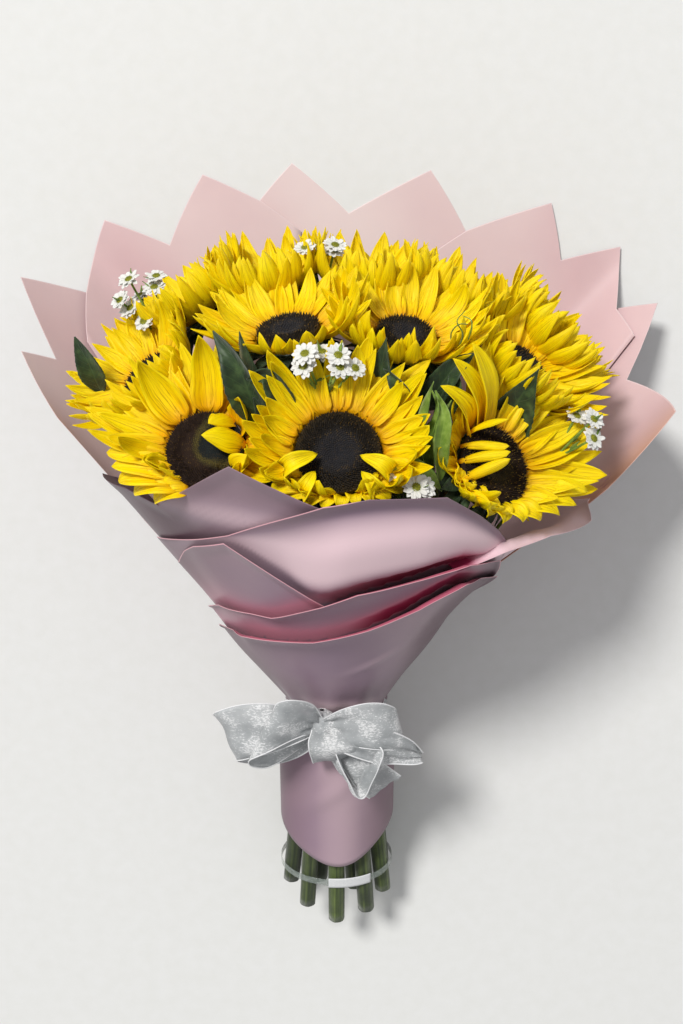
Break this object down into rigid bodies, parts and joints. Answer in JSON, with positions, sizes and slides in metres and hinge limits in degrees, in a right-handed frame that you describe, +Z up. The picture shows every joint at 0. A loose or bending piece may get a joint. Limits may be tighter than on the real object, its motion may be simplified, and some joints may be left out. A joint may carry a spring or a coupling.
{
  "type": "bunch of sunflowers",
  "caption": "Bunch of cut sunflowers with small white daisies, lying on its back in pink paper tied with an organza bow.",
  "frame": {"origin": "middle of the underside of the lying bunch, on the surface it lies on", "axes": "+Z up, +Y from the cut ends towards the flowers, +X to the right of the bow"},
  "size_m": [0.4776, 0.593, 0.2824],
  "materials": {
    "petal": "soft satin, creased lengthwise",
    "disc": "matt, rough with florets",
    "stem": "matt, finely ribbed and hairy",
    "daisy": "matt",
    "paper_inner": "soft satin",
    "paper_outer": "satin",
    "organza": "sheer with small glints",
    "clear_tape": "clear gloss"
  },
  "bodies": {
    "root": {"daisy_spray_back": "daisy", "daisy_spray_front": "daisy", "daisy_spray_left": "daisy", "daisy_spray_low_left": "daisy", "daisy_spray_middle": "daisy", "daisy_spray_right": "daisy", "disc_back_left": "disc", "disc_back_middle_left": "disc", "disc_back_middle_right": "disc", "disc_back_right": "disc", "disc_far_right": "disc", "disc_front_left": "disc", "disc_front_middle": "disc", "disc_front_right": "disc", "disc_middle_left": "disc", "disc_middle_right": "disc", "disc_side_left": "disc", "disc_side_right": "disc", "organza_ribbon": "organza", "paper_back_far_left": "paper_inner", "paper_back_far_right": "paper_inner", "paper_back_left": "paper_inner", "paper_back_middle": "paper_inner", "paper_back_right": "paper_inner", "paper_front_left": "paper_outer", "paper_front_low": "paper_outer", "paper_front_main": "paper_outer", "paper_front_right": "paper_outer", "paper_pocket_lower": "paper_outer", "paper_pocket_upper": "paper_outer", "paper_skirt": "paper_outer", "petals_back_left": "petal", "petals_back_middle_left": "petal", "petals_back_middle_right": "petal", "petals_back_right": "petal", "petals_far_right": "petal", "petals_front_left": "petal", "petals_front_middle": "petal", "petals_front_right": "petal", "petals_middle_left": "petal", "petals_middle_right": "petal", "petals_side_left": "petal", "petals_side_right": "petal", "stem_back_left": "stem", "stem_back_middle_left": "stem", "stem_back_middle_right": "stem", "stem_back_right": "stem", "stem_far_right": "stem", "stem_front_left": "stem", "stem_front_middle": "stem", "stem_front_right": "stem", "stem_middle_left": "stem", "stem_middle_right": "stem", "stem_side_left": "stem", "stem_side_right": "stem", "stem_tape": "clear_tape"}
  },
  "joints": []
}
